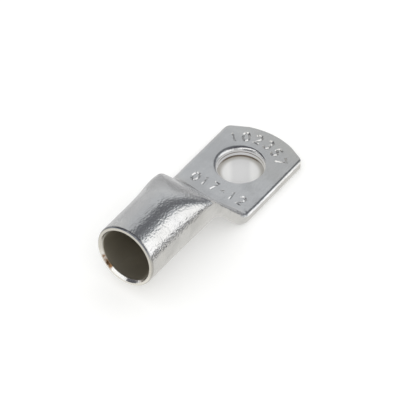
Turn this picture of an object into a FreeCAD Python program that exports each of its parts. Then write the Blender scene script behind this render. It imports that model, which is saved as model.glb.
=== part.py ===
"""Copper tube lug for a 150 square millimetre cable, tinned, with one stud hole.

The lug is one piece of tube. One end stays round and takes the cable. The other end is
pressed flat, so that the tube's two walls lie on each other, and is offset below the tube.
Between the two, the pressed walls climb a steep ramp, whose folded edges narrow from the
palm's width to the tube's.

Frame: millimetres, +Z up. The origin is the centre of the stud hole on the contact face.
+X runs from the cable entry to the palm's tip. Distances behind the stud hole are positive.
"""
import FreeCAD, Part
import os
import Sketcher
from FreeCAD import Placement, Rotation, Vector

SIZES = [
    ("tube_outer_dia", 20.4, "outer diameter of the tube"),
    ("tube_wall", 1.65, "wall of the tube"),
    ("axis_height", 14.0, "tube axis above the contact face"),
    ("mouth_reach", 58.65, "stud hole centre to the mouth, along the tube axis"),
    ("mouth_lean", 6.4, "degrees: pressing draws the top wall in, so the mouth leans"),
    ("mouth_chamfer", 0.55, "chamfer inside the mouth"),
    ("mouth_round", 0.35, "rounding outside the mouth"),
    ("palm_width", 28.5, "width of the palm over its folds"),
    ("fold_round", 1.3, "rounding of the folded side edges"),
    ("tip_reach", 16.6, "stud hole centre to the tip"),
    ("tip_arc_radius", 24.0, "radius of the shallow arc of the tip"),
    ("tip_arc_chord", 15.2, "width of that arc"),
    ("tip_cut_back", 5.3, "how far the corner cuts run back from the tip"),
    ("tip_corner_round", 4.0, "rounding of the plan corners at the tip"),
    ("tip_edge_round", 0.25, "rounding of the sheared tip edges"),
    ("stud_hole_dia", 14.8, "stud hole"),
    ("stud_hole_roll", 0.8, "rounding that the punch leaves at the top of the hole"),
    ("ramp_foot", 16.4, "stud hole centre to the foot of the ramp"),
    ("ramp_angle", 52.0, "degrees: slope of the ramp"),
    ("ramp_bend_radius", 0.6, "inner radius of the bend at the foot of the ramp"),
    ("ramp_top_width", 19.4, "width of the folded walls where the ramp enters the tube"),
    ("crown_radius", 22.0, "side view radius of the crown between tube and ramp"),
    ("crown_start_angle", 5.0, "degrees: slope at which the crown leaves the round tube"),
    ("crown_edge_round", 2.0, "rounding of the long edges of the crown"),
    ("stop_step", 0.45, "how much the bore narrows past its straight part, as a cable stop"),
    ("hollow_taper", 0.5, "degrees: how the hollow past the stop narrows to its end"),
    ("neck_round", 1.0, "rounding where the tube's underside meets the ramp's"),
]

DERIVED = [
    ("palm_thickness", "2 * tube_wall", "two walls pressed together"),
    ("bore_dia", "tube_outer_dia - 2 * tube_wall", "cable bore"),
    ("tube_top", "axis_height + tube_outer_dia / 2", "top of the tube"),
    ("crown_centre_z", "tube_top - crown_radius * cos(crown_start_angle)",
     "height of the crown's centre"),
    ("slope_end_z", "crown_centre_z + crown_radius * cos(ramp_angle)",
     "height where the straight slope ends"),
    ("slope_end_x", "ramp_foot + (slope_end_z - palm_thickness) / tan(ramp_angle)",
     "stud hole centre to the end of the straight slope"),
    ("crown_centre_x", "slope_end_x + crown_radius * sin(ramp_angle)",
     "stud hole centre to the crown's centre"),
    ("bend_place", "ramp_foot - ramp_bend_radius * tan(ramp_angle / 2)",
     "stud hole centre to the axis of the bend"),
    ("bend_centre_z", "palm_thickness + ramp_bend_radius", "height of the axis of the bend"),
    ("ramp_length", "(slope_end_x - bend_place) / cos(ramp_angle) - ramp_bend_radius - 0.3",
     "length of the folded walls above the bend"),
    ("bore_end", "crown_centre_x - (crown_radius - tube_wall) * sin(crown_start_angle) + 0.3",
     "stud hole centre to the end of the straight bore"),
    ("cavity_low_z", "axis_height - bore_dia / 2 - 1", "a level just below the bore"),
]

doc = FreeCAD.newDocument("cable_lug")
sheet = doc.addObject("Spreadsheet::Sheet", "sizes")


def fill_sheet():
    """Writes each size with its alias and its meaning; derived sizes are formulas."""
    rows = [(alias, str(number), meaning) for alias, number, meaning in SIZES]
    rows += [(alias, "=" + formula, meaning) for alias, formula, meaning in DERIVED]
    for row, (alias, content, meaning) in enumerate(rows, start=1):
        sheet.set(f"A{row}", meaning)
        sheet.set(f"B{row}", content)
        sheet.setAlias(f"B{row}", alias)
        doc.recompute()


def linked(formula):
    """A formula for use outside the sheet; each size stands in it in braces."""
    return formula.replace("{", "sizes.").replace("}", "")


def value(formula):
    return float(sheet.evalExpression(linked(formula)))


def bind(feature, prop, formula):
    feature.setExpression(prop, linked(formula))


def new_body(name):
    return doc.addObject("PartDesign::Body", name)


def new_sketch(body, name, role, shift=None, turn=None):
    """An empty sketch on one of the body's origin planes.

    shift gives formulas for the offset along the plane's own x, y and normal; turn tilts
    the sketch about its own x axis, in degrees.
    """
    sketch = body.newObject("Sketcher::SketchObject", name)
    plane = next(item for item in body.Origin.OriginFeatures if item.Role == role)
    sketch.AttachmentSupport = [(plane, "")]
    sketch.MapMode = "FlatFace"
    if turn:
        tilt = Rotation(Vector(1, 0, 0), value(turn))
        sketch.AttachmentOffset = Placement(Vector(0, 0, 0), tilt)
        bind(sketch, "AttachmentOffset.Rotation.Angle", turn)
    for axis, formula in (shift or {}).items():
        bind(sketch, f"AttachmentOffset.Base.{axis}", formula)
    return sketch


def place(sketch, geometry, end, name, across, up):
    """Dimensions one point of a sketch from the origin, by formulas."""
    for kind, axis, formula in (("DistanceX", "x", across), ("DistanceY", "y", up)):
        number = value(formula)
        rule = Sketcher.Constraint(kind, -1, 1, geometry, end, number)
        index = sketch.addConstraint(rule)
        sketch.renameConstraint(index, f"{name}_{axis}")
        bind(sketch, f"Constraints.{name}_{axis}", formula)


def set_radius(sketch, geometry, name, formula):
    rule = Sketcher.Constraint("Radius", geometry, value(formula))
    index = sketch.addConstraint(rule)
    sketch.renameConstraint(index, name)
    bind(sketch, f"Constraints.{name}", formula)


def draw_polygon(sketch, points):
    """A closed outline of straight lines through points given by formulas."""
    spots = [Vector(value(across), value(up), 0) for across, up in points]
    count = len(points)
    for i in range(count):
        sketch.addGeometry(Part.LineSegment(spots[i], spots[(i + 1) % count]))
    for i in range(count):
        sketch.addConstraint(Sketcher.Constraint("Coincident", i, 2, (i + 1) % count, 1))
        place(sketch, i, 1, f"corner{i}", *points[i])


def draw_arc_polygon(sketch, arc, radius, centre, points):
    """A closed outline whose first side is an arc and whose other sides are straight.

    arc is (from angle, to angle) as formulas in degrees, counter-clockwise; points are the
    corners after the arc's end, in order, back to its start.
    """
    start, end = value(arc[0]), value(arc[1])
    middle = Vector(value(centre[0]), value(centre[1]), 0)
    length = value(radius)
    turn = Rotation(Vector(0, 0, 1), start).multVec(Vector(length, 0, 0))
    stop = Rotation(Vector(0, 0, 1), end).multVec(Vector(length, 0, 0))
    half = Rotation(Vector(0, 0, 1), (start + end) / 2).multVec(Vector(length, 0, 0))
    sketch.addGeometry(Part.Arc(middle + turn, middle + half, middle + stop))
    spots = [middle + stop]
    spots += [Vector(value(across), value(up), 0) for across, up in points]
    spots += [middle + turn]
    for first, second in zip(spots, spots[1:]):
        sketch.addGeometry(Part.LineSegment(first, second))
    last = len(spots) - 1
    sketch.addConstraint(Sketcher.Constraint("Coincident", 0, 2, 1, 1))
    sketch.addConstraint(Sketcher.Constraint("Coincident", last, 2, 0, 1))
    for i in range(1, last):
        sketch.addConstraint(Sketcher.Constraint("Coincident", i, 2, i + 1, 1))
        place(sketch, i, 2, f"corner{i}", *points[i - 1])
    place(sketch, 0, 3, "centre", *centre)
    set_radius(sketch, 0, "arc_radius", radius)
    for end_number, name, angle in ((1, "start", arc[0]), (2, "stop", arc[1])):
        formula = f"{centre[1]} + ({radius}) * sin({angle})"
        rule = Sketcher.Constraint("DistanceY", -1, 1, 0, end_number, value(formula))
        index = sketch.addConstraint(rule)
        sketch.renameConstraint(index, name)
        bind(sketch, f"Constraints.{name}", formula)


def add_feature(body, kind, name, sketch):
    feature = body.newObject(f"PartDesign::{kind}", name)
    feature.Profile = sketch
    sketch.Visibility = False
    return feature


def add_pad(body, name, sketch, length):
    pad = add_feature(body, "Pad", name, sketch)
    bind(pad, "Length", length)
    doc.recompute()
    return pad


def cut_both_ways(body, name, sketch):
    """A pocket through everything, on both sides of its sketch."""
    before = body.Tip.Shape.Volume
    pocket = add_feature(body, "Pocket", name, sketch)
    pocket.SideType = "Symmetric"
    pocket.Length = 400
    doc.recompute()
    print(f"{name}: takes {before - pocket.Shape.Volume:.1f} cubic mm")
    return pocket


def round_edges(body, name, wanted, formula, kind="Fillet"):
    """Rounds or chamfers the edges for which wanted is true, with the largest of three
    steps of the size that the shape allows."""
    base = body.Tip
    names = [f"Edge{i + 1}" for i, edge in enumerate(base.Shape.Edges) if wanted(edge)]
    for share in ("1.0", "0.6", "0.3"):
        feature = body.newObject(f"PartDesign::{kind}", name)
        feature.Base = (base, names)
        bind(feature, "Radius" if kind == "Fillet" else "Size", f"{formula} * {share}")
        doc.recompute()
        sound = "Invalid" not in feature.State and feature.Shape.isValid()
        if names and sound and len(feature.Shape.Solids) == 1:
            print(f"{name}: {len(names)} edges, share {share}")
            return feature
        body.removeObject(feature)
        doc.removeObject(feature.Name)
        body.Tip = base
        doc.recompute()
    print(f"{name}: left sharp, {len(names)} edges")
    return None


def join_body(body, name, tool, kind):
    """Joins, cuts or intersects the body with a tool body."""
    feature = body.newObject("PartDesign::Boolean", name)
    feature.setObjects([tool])
    feature.Type = kind
    doc.recompute()
    return feature


def draw_fold_section(sketch, width):
    """The cross section of the pressed walls, drawn below the axis of the bend."""
    left = f"-({width}) / 2 + {{fold_round}}"
    right = f"({width}) / 2 - {{fold_round}}"
    top = "-{ramp_bend_radius} - {fold_round}"
    low = "-{ramp_bend_radius} - {palm_thickness} + {fold_round}"
    corners = [(right, top, 0), (left, top, 90), (left, low, 180), (right, low, 270)]
    radius = value("{fold_round}")
    arcs = []
    for across, up, angle in corners:
        middle = Vector(value(across), value(up), 0)
        points = [middle + Rotation(Vector(0, 0, 1), angle + step).multVec(Vector(radius, 0, 0))
                  for step in (0, 45, 90)]
        arcs.append(points)
        sketch.addGeometry(Part.Arc(*points))
    for i in range(4):
        sketch.addGeometry(Part.LineSegment(arcs[i][2], arcs[(i + 1) % 4][0]))
    for i in range(4):
        sketch.addConstraint(Sketcher.Constraint("Tangent", i, 2, 4 + i, 1))
        sketch.addConstraint(Sketcher.Constraint("Tangent", 4 + i, 2, (i + 1) % 4, 1))
        place(sketch, i, 3, f"round{i}", corners[i][0], corners[i][1])
        set_radius(sketch, i, f"radius{i}", "{fold_round}")


def make_palm_outline():
    """A thick plate with the palm's plan outline: straight sides, corner cuts, shallow arc.

    Its sides stand just outside the folds, so that the shear meets them at an angle.
    """
    body = new_body("palm_outline")
    sketch = new_sketch(body, "plan", "XY_Plane", shift={"z": "-{palm_thickness}"})
    half = "{palm_width} / 2 + 0.06"
    cut = "{tip_reach} - {tip_cut_back}"
    back = "-{slope_end_x} - 3 * {palm_thickness}"
    spread = "asin({tip_arc_chord} / 2 / {tip_arc_radius}) / 1deg"
    centre = ("{tip_reach} - {tip_arc_radius}", "0 * {tip_reach}")
    points = [(cut, half), (back, half), (back, f"-{half}"), (cut, f"-{half}")]
    draw_arc_polygon(sketch, (f"-{spread}", spread), "{tip_arc_radius}", centre, points)
    add_pad(body, "plate", sketch, "{tube_top} + 3 * {palm_thickness}")
    front = value("{tip_reach} - {tip_cut_back}") - 0.1

    def at_tip_corner(edge):
        upright = abs(edge.BoundBox.XLength) < 1e-6 and abs(edge.BoundBox.YLength) < 1e-6
        return upright and edge.CenterOfMass.x > front

    round_edges(body, "tip_corners", at_tip_corner, "{tip_corner_round}")
    return body


def make_barrel():
    """The round tube as a full bar, with its crown and its slope cut."""
    body = new_body("barrel")
    sketch = new_sketch(body, "ring", "YZ_Plane", shift={"z": "-{mouth_reach} - 4"})
    sketch.addGeometry(Part.Circle(Vector(0, 14, 0), Vector(0, 0, 1), 10))
    place(sketch, 0, 3, "axis", "0 * {axis_height}", "{axis_height}")
    set_radius(sketch, 0, "tube_radius", "{tube_outer_dia} / 2")
    add_pad(body, "bar", sketch, "{mouth_reach} + 4 - {ramp_foot}")
    slope = new_sketch(body, "slope", "XZ_Plane")
    end = "-{ramp_foot} + 2"
    start_x = "-{crown_centre_x} + {crown_radius} * sin({crown_start_angle})"
    above = "{tube_top} + 6"
    points = [(start_x, above), (end, above), (end, "{palm_thickness} - 1"),
              ("-{ramp_foot} + 1 / tan({ramp_angle})", "{palm_thickness} - 1")]
    draw_slope(slope, "{crown_radius}", points)
    cut_both_ways(body, "crown_cut", slope)
    reach = value("{crown_centre_x}")

    def on_crown_edge(edge):
        box = edge.BoundBox
        return box.ZLength > 3 and box.XLength > 3 and box.XMax > -reach

    round_edges(body, "crown_edges", on_crown_edge, "{crown_edge_round}")
    return body


def draw_slope(sketch, radius, points):
    """Side outline above a crown arc and the slope that follows it."""
    centre = ("-{crown_centre_x}", "{crown_centre_z}")
    arc = ("90 - {ramp_angle}", "90 - {crown_start_angle}")
    draw_arc_polygon(sketch, arc, radius, centre, points)


def make_cavity():
    """The space inside: the cable bore, closed by the wall that comes down over it."""
    body = new_body("cavity")
    straight = "{mouth_reach} + 6 - {bore_end}"
    narrow = "{bore_end} - {ramp_foot}"
    for name, start, radius, length in (
            ("bore", "{mouth_reach} + 6", "{bore_dia} / 2", straight),
            ("hollow", "{bore_end}", "{bore_dia} / 2 - {stop_step}", narrow)):
        sketch = new_sketch(body, f"{name}_ring", "YZ_Plane", shift={"z": f"-({start})"})
        sketch.addGeometry(Part.Circle(Vector(0, 14, 0), Vector(0, 0, 1), 8))
        place(sketch, 0, 3, "axis", "0 * {axis_height}", "{axis_height}")
        set_radius(sketch, 0, "bore_radius", radius)
        pad = add_pad(body, name, sketch, length)
    bind(pad, "TaperAngle", "-{hollow_taper}")
    doc.recompute()
    print(f"hollow narrows to {pad.AddSubShape.Faces[-1].BoundBox.YLength:.2f} mm")
    slope = new_sketch(body, "inner_slope", "XZ_Plane")
    radius = "({crown_radius} - {tube_wall})"
    start_x = f"-{{crown_centre_x}} + {radius} * sin({{crown_start_angle}})"
    slope_x = f"-{{crown_centre_x}} + {radius} * sin({{ramp_angle}})"
    slope_z = f"{{crown_centre_z}} + {radius} * cos({{ramp_angle}})"
    low_x = f"{slope_x} + ({slope_z} - {{cavity_low_z}}) / tan({{ramp_angle}})"
    end = "-{ramp_foot} + 2"
    above = "{tube_top} + 6"
    points = [(start_x, above), (end, above), (end, "{cavity_low_z}"), (low_x, "{cavity_low_z}")]
    draw_slope(slope, radius, points)
    cut_both_ways(body, "inner_crown", slope)
    return body


def add_palm_and_ramp(body, outline):
    """The pressed walls: a flat palm, a bend of its full width and the narrowing ramp."""
    axis = {"y": "{bend_centre_z}", "z": "-{bend_place}"}
    section = new_sketch(body, "palm_section", "YZ_Plane", shift=axis)
    draw_fold_section(section, "{palm_width}")
    add_pad(body, "palm", section, "{bend_place} + {tip_reach} + 1")
    turned = new_sketch(body, "bend_section", "YZ_Plane", shift=axis)
    draw_fold_section(turned, "{palm_width}")
    bend = add_feature(body, "Revolution", "bend", turned)
    bend.ReferenceAxis = (turned, ["H_Axis"])
    bind(bend, "Angle", "{ramp_angle}")
    doc.recompute()
    if bend.Shape.BoundBox.XMin > -value("{bend_place}") - 0.5:
        bend.Reversed = True
        doc.recompute()
    lower = new_sketch(body, "ramp_low_section", "YZ_Plane", shift=axis, turn="{ramp_angle}")
    draw_fold_section(lower, "{palm_width}")
    end = {"y": "{bend_centre_z} + {ramp_length} * sin({ramp_angle})",
           "z": "-{bend_place} - {ramp_length} * cos({ramp_angle})"}
    upper = new_sketch(body, "ramp_top_section", "YZ_Plane", shift=end, turn="{ramp_angle}")
    draw_fold_section(upper, "{ramp_top_width}")
    ramp = add_feature(body, "AdditiveLoft", "ramp", lower)
    ramp.Sections = [upper]
    ramp.Ruled = True
    doc.recompute()
    join_body(body, "palm_trim", outline, "Common")
    front = value("{tip_reach} - {tip_cut_back}")
    levels = (0, value("{palm_thickness}"))

    def on_tip_edge(edge):
        level = edge.BoundBox.ZLength < 1e-4
        height = edge.CenterOfMass.z
        return level and edge.CenterOfMass.x > front and min(abs(height - z) for z in levels) < 1e-3

    round_edges(body, "tip_edges", on_tip_edge, "{tip_edge_round}")


def finish_mouth(body):
    """The leaning mouth with its inner chamfer and rounded outer edge."""
    sketch = new_sketch(body, "mouth_side", "XZ_Plane")
    far = "-{mouth_reach} - 30"
    rise = "{tube_outer_dia}"
    lean = "tan({mouth_lean})"
    points = [("-{mouth_reach}" + f" - {rise} * {lean}", "{axis_height} - " + rise),
              ("-{mouth_reach}" + f" + {rise} * {lean}", "{axis_height} + " + rise),
              (far, "{axis_height} + " + rise),
              (far, "{axis_height} - " + rise)]
    draw_polygon(sketch, points)
    cut_both_ways(body, "mouth_cut", sketch)
    back = -value("{mouth_reach}") + value("{tube_outer_dia} * tan({mouth_lean})")
    between = value("({tube_outer_dia} + {bore_dia}) / 2")

    def rim(edge, outer):
        box = edge.BoundBox
        return box.XMax < back and box.YLength > 5 and (box.YLength > between) == outer

    round_edges(body, "mouth_chamfer", lambda e: rim(e, False), "{mouth_chamfer}", "Chamfer")
    round_edges(body, "mouth_edge", lambda e: rim(e, True), "{mouth_round}")


def cut_stud_hole(body):
    sketch = new_sketch(body, "stud_ring", "XY_Plane")
    sketch.addGeometry(Part.Circle(Vector(0, 0, 0), Vector(0, 0, 1), 7))
    sketch.addConstraint(Sketcher.Constraint("Coincident", 0, 3, -1, 1))
    set_radius(sketch, 0, "hole_radius", "{stud_hole_dia} / 2")
    cut_both_ways(body, "stud_hole", sketch)
    top, wide = value("{palm_thickness}"), value("{stud_hole_dia}")

    def at_hole_top(edge):
        box = edge.BoundBox
        round_here = abs(box.XLength - wide) < 0.01 and abs(box.YLength - wide) < 0.01
        return round_here and abs(box.ZMin - top) < 0.01 and box.ZLength < 0.01

    round_edges(body, "hole_roll", at_hole_top, "{stud_hole_roll}")


def round_neck(body):
    """Rounds the hollow edge between the tube's underside and the underside of the ramp."""
    foot, end = value("-{ramp_foot}"), value("-{slope_end_x} - 6")
    low = value("{palm_thickness} + 0.2")
    bar = value("{tube_outer_dia} / 2")
    axis = value("{axis_height}")

    def in_neck(edge):
        if edge.BoundBox.XMax > foot or edge.BoundBox.XMin < end or edge.Length < 2:
            return False
        ends = [edge.valueAt(edge.ParameterRange[0]), edge.valueAt(edge.ParameterRange[1])]
        near = [abs(Vector(0, p.y, p.z - axis).Length - bar) < 0.02 and p.z > low for p in ends]
        return all(near)

    return round_edges(body, "neck", in_neck, "{neck_round}")


fill_sheet()
outline = make_palm_outline()
barrel = make_barrel()
cavity = make_cavity()
lug = new_body("cable_lug")
add_palm_and_ramp(lug, outline)
join_body(lug, "tube_join", barrel, "Fuse")
round_neck(lug)
join_body(lug, "cavity_cut", cavity, "Cut")
finish_mouth(lug)
cut_stud_hole(lug)
lug.Label = "cable_lug"
doc.recompute()

for item in doc.Objects:
    if "Invalid" in item.State or "Error" in item.State:
        raise RuntimeError(f"{item.Name} has state {item.State}")
shape = lug.Shape
if shape.isNull() or not shape.isValid() or len(shape.Solids) != 1:
    raise RuntimeError("the lug is not one sound solid")
solid = shape.Solids[0]
box = solid.BoundBox
centre = solid.CenterOfMass
print(f"length {box.XMin:.2f}..{box.XMax:.2f}, width {box.YMin:.2f}..{box.YMax:.2f}")
print(f"height {box.ZMin:.2f}..{box.ZMax:.2f}, faces {len(solid.Faces)}")
print(f"volume {solid.Volume:.0f} cubic mm, centre of mass {centre.x:.2f}, {centre.z:.2f}")
os.makedirs("parts", exist_ok=True)
solid.exportStep(f"parts/{lug.Label}.step")
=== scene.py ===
# %% [markdown]
# # A copper cable lug, tin-plated
#
# A cable lug joins a thick cable to a stud. This one is a single piece of copper tube. One
# end stays round and takes the cable, the other is pressed flat, punched with a hole and
# trimmed, and then the whole piece is plated with tin.
#
# The measured part comes from the CAD model: its place, its size and its node. Blender adds
# the finish, and a smoother skin in place of the CAD node, because bright metal shows every
# facet. Everything is in metres, and sizes are given in millimetres and scaled once.

# %% Load the measured part
import math

import bmesh
import bpy
import numpy as np
from mathutils import Matrix, Vector


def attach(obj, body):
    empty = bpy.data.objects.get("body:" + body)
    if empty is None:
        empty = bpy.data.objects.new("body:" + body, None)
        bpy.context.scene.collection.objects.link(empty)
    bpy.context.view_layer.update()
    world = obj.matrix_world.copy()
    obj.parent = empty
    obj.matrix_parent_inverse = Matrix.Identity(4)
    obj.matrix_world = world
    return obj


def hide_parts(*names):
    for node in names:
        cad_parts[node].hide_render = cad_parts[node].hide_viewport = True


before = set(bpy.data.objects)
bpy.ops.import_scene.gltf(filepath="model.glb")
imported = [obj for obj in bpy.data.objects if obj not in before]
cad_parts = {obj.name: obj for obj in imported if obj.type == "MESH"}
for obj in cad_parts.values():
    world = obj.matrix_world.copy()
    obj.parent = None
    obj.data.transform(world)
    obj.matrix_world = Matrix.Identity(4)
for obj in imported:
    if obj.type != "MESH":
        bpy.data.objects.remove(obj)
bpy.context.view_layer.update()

MM = 0.001

# %% [markdown]
# ## The form of the pressed tube
#
# On the real lug a press brings the tube's top wall down over a rounded crown, along a steep
# straight ramp, and onto the bottom wall, where both lie flat as the palm. Seen from the
# side, the top is therefore one line: level, a crown of 22 mm radius, a ramp at 52 degrees, a
# tight bend and the level palm. The sizes are the CAD model's; only the roundings SIDE_BEND,
# FOLD_ROUND and PALM_EDGE belong to this skin, which is softer at the sides of the bend.

# %% Sizes of the lug in mm
TUBE_RADIUS = 10.2
WALL = 1.65
BORE_RADIUS = TUBE_RADIUS - WALL
AXIS_Z = 14.0
TUBE_TOP = AXIS_Z + TUBE_RADIUS
MOUTH_X = -58.65
MOUTH_LEAN = math.tan(math.radians(6.4))
PALM_THICK = 2 * WALL
PALM_HALF = 14.25
RAMP_FOOT = -16.4
RAMP_ANGLE = math.radians(52.0)
CROWN_RADIUS = 22.0
BEND_RADIUS = 0.6
SIDE_BEND = 5.0
FOLD_ROUND = 1.5
CROWN_EDGE = 2.0
PALM_EDGE = 1.3
TIP_X = 16.6
HOLE_RADIUS = 7.4

sin_ramp, cos_ramp, tan_ramp = math.sin(RAMP_ANGLE), math.cos(RAMP_ANGLE), math.tan(RAMP_ANGLE)
slope_end_z = TUBE_TOP - CROWN_RADIUS * (1 - cos_ramp)
slope_end_x = RAMP_FOOT - (slope_end_z - PALM_THICK) / tan_ramp
CROWN_CENTRE = (slope_end_x - CROWN_RADIUS * sin_ramp, TUBE_TOP - CROWN_RADIUS)
BEND_CENTRE = (RAMP_FOOT + BEND_RADIUS * math.tan(RAMP_ANGLE / 2), PALM_THICK + BEND_RADIUS)
print(f"crown from x {CROWN_CENTRE[0]:.2f} to {slope_end_x:.2f}, bend at x {BEND_CENTRE[0]:.2f}")

# %% [markdown]
# The press is written as a distance: how far a point lies above the line that the die gives
# the top. Zero is the top surface, and minus the thickness is the underside of the pressed
# walls, so one function gives both faces of the bent plate.

# %% Distance above the pressed top
def above_die(x, z, bend=BEND_RADIUS):
    """Height of points over the die's line, in mm, measured square to it."""
    from_crown = np.hypot(x - CROWN_CENTRE[0], z - CROWN_CENTRE[1]) - CROWN_RADIUS
    bend_x, bend_z = RAMP_FOOT + bend * math.tan(RAMP_ANGLE / 2), PALM_THICK + bend
    along_slope = (x - bend_x) * cos_ramp - (z - bend_z) * sin_ramp
    foot = (x - RAMP_FOOT) * sin_ramp + (z - PALM_THICK) * cos_ramp
    curve = bend - np.hypot(x - bend_x, z - bend_z)
    turn = np.arctan2(z - CROWN_CENTRE[1], x - CROWN_CENTRE[0])
    after = np.where(along_slope <= 0, foot, np.where(x >= bend_x, z - PALM_THICK, curve))
    crown = turn >= math.pi / 2 - RAMP_ANGLE
    return np.where(x < CROWN_CENTRE[0], z - TUBE_TOP, np.where(crown, from_crown, after))


def top_line(x):
    """Height of the pressed top at x, in mm."""
    crown = np.sqrt(np.maximum(CROWN_RADIUS ** 2 - (x - CROWN_CENTRE[0]) ** 2, 0))
    slope = PALM_THICK + (RAMP_FOOT - x) * tan_ramp
    bend = np.sqrt(np.maximum(BEND_RADIUS ** 2 - (x - BEND_CENTRE[0]) ** 2, 0))
    high = np.where(x < CROWN_CENTRE[0], TUBE_TOP, CROWN_CENTRE[1] + crown)
    high = np.where(x > slope_end_x, slope, high)
    high = np.where(x > BEND_CENTRE[0] - BEND_RADIUS * sin_ramp, BEND_CENTRE[1] - bend, high)
    return np.where(x > BEND_CENTRE[0], PALM_THICK, high)


def under_line(x):
    """Height of the pressed walls' underside at x, in mm."""
    radius = BEND_RADIUS + PALM_THICK
    inside = np.clip(x - BEND_CENTRE[0], -radius * sin_ramp, 0)
    arc = BEND_CENTRE[1] - np.sqrt(radius ** 2 - inside ** 2)
    beyond = np.minimum(x - BEND_CENTRE[0] + radius * sin_ramp, 0)
    return arc - beyond * tan_ramp


for place in (-50.0, -40.0, -30.0, -20.0, -10.0):
    print(f"top at x {place:.0f}: {top_line(np.array([place]))[0]:.2f} mm")

# %% [markdown]
# ## One skin for the whole lug
#
# The tube, the narrowing folded walls and the palm flow into each other without an edge, and
# the crown's long edges are softly rounded. Rings that are scaled by hand can't give that, and
# bright metal shows each dent in a reflection. So the solid is described as three simple forms
# that are joined with rounded corners: a pressed bar, a folded plate, and the die above both.

# %% Rounded joins of forms
def round_cut(first, second, radius):
    """What lies in both forms, with the outer corner rounded."""
    corner = np.hypot(np.maximum(first + radius, 0), np.maximum(second + radius, 0))
    return np.minimum(-radius, np.maximum(first, second)) + corner


def round_join(first, second, radius):
    """What lies in either form, with the inner corner filled."""
    corner = np.hypot(np.maximum(radius - first, 0), np.maximum(radius - second, 0))
    return np.maximum(radius, np.minimum(first, second)) - corner


def soft_least(first, second, width):
    """The lower of two values, with a soft change from one to the other."""
    share = np.maximum(width - np.abs(first - second), 0) / width
    return np.minimum(first, second) - share ** 2 * width / 4


def smooth_step(x, start, end):
    share = np.clip((x - start) / (end - start), 0, 1)
    return share * share * (3 - 2 * share)


print("halfway between 0 and 1:", smooth_step(0.5, 0.0, 1.0))

# %% [markdown]
# The folded walls are narrowest where they enter the tube. From there a curve widens them, a
# straight flare follows, and at the palm they reach its full width. The tube keeps its round
# underside, while its upper half turns from a circle into a wide, squarer oval.

# %% Folded walls and pressed tube
NARROW_HALF, FLARE_START, FLARE_BEND, CURVE_END = 10.4, -29.5, 0.0305, -22.0
FLARE_SLOPE, FLARE_COSINE, FLARE_SOFT = 0.378, 0.936, 0.5
ROOT_HALF, ROOT_X, ROOT_SLOPE, ROOT_SOFT = 10.0, -27.2, 1.3, 2.0
PRESS_START, PRESS_END, PRESS_DELAY = -47.0, -28.0, 2.0
WIDENING, WIDE_FROM, WIDE_TO, WIDE_GONE = 0.3, -31.0, -26.0, -19.0
LEAST_HIGH, END_RISE, RISE_FROM, RISE_TO = 0.5, 1.4, -30.5, -26.0


def folded_half(x):
    """Half the width of the folded walls: full on the palm, narrower up the ramp."""
    curved = NARROW_HALF + FLARE_BEND * np.maximum(x - FLARE_START, 0) ** 2
    flare = np.where(x < CURVE_END, curved, PALM_HALF + (x - RAMP_FOOT) * FLARE_SLOPE)
    root = ROOT_HALF + (x - ROOT_X) * ROOT_SLOPE
    upper = soft_least(np.full_like(x, PALM_HALF), flare, FLARE_SOFT)
    return soft_least(upper, root, ROOT_SOFT)


def pressed_bar(x, y, z):
    """The tube under the press: an oval that gets wider and squarer as its top comes down."""
    wide = smooth_step(x, PRESS_START, WIDE_FROM) * (1 - smooth_step(x, WIDE_TO, WIDE_GONE))
    half_width = TUBE_RADIUS + WIDENING * wide
    length = PRESS_END - PRESS_START - PRESS_DELAY
    share = np.clip((x - PRESS_START - PRESS_DELAY) / length, 0, 1)
    power = 2 + 4 * share ** 3
    rise = END_RISE * smooth_step(x, RISE_FROM, RISE_TO)
    high = np.maximum(top_line(x) - AXIS_Z, LEAST_HIGH) + rise
    across, up = np.abs(y) / half_width, (z - AXIS_Z)
    above = (across ** power + (np.abs(up) / high) ** power) ** (1 / power)
    below = np.hypot(across, up / TUBE_RADIUS)
    return (np.where(up > 0, above, below) - 1) * TUBE_RADIUS


# %% [markdown]
# The three forms are put together here: bar and plate are joined, and the die cuts both. The
# edges that the die leaves are widest along the crown and get finer on the palm. The hollow is
# a round bore under the die's line, one wall lower.

# %% The outer skin and the hollow
SIDE_FROM, SIDE_TO = 3.0, 11.0
CROWN_EDGE_FROM, CROWN_EDGE_TO = -30.5, -26.5
PALM_EDGE_FROM, PALM_EDGE_TO = -20.0, -11.0
JOIN_ROUND, ROOF_ROUND = 2.0, 0.6


def lug_outside(x, y, z):
    """Below zero inside the metal's outer skin, above zero outside it."""
    bar = pressed_bar(x, y, z)
    top = above_die(x, z, BEND_RADIUS + SIDE_BEND * smooth_step(np.abs(y), SIDE_FROM, SIDE_TO))
    side = (np.abs(y) - folded_half(x)) * np.where(x < RAMP_FOOT, FLARE_COSINE, 1.0)
    plate = round_cut(side, -above_die(x, z) - PALM_THICK, FOLD_ROUND)
    edge = CROWN_EDGE * smooth_step(x, CROWN_EDGE_FROM, CROWN_EDGE_TO)
    edge += (PALM_EDGE - CROWN_EDGE) * smooth_step(x, PALM_EDGE_FROM, PALM_EDGE_TO)
    return round_cut(round_join(bar, plate, JOIN_ROUND), top, edge)


def lug_inside(x, y, z):
    """Below zero in the hollow of the tube, above zero in the metal."""
    bore = np.hypot(y, z - AXIS_Z) - BORE_RADIUS
    return round_cut(bore, above_die(x, z) + WALL, ROOF_ROUND * smooth_step(x, -43.5, -38.0))


ramp_half = folded_half(np.array([-24.0]))[0]
print(f"folded walls at x -24: {2 * ramp_half:.2f} mm wide")

# %% [markdown]
# Each ring of the skin lies in an upright plane across the lug. Its points are found on spokes
# from a hub inside the metal: a point slides out along its spoke until it meets the form. The
# spokes aim at a round ring on the tube and at a flat one on the palm, with more of them
# where the folded edge turns.

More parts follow.
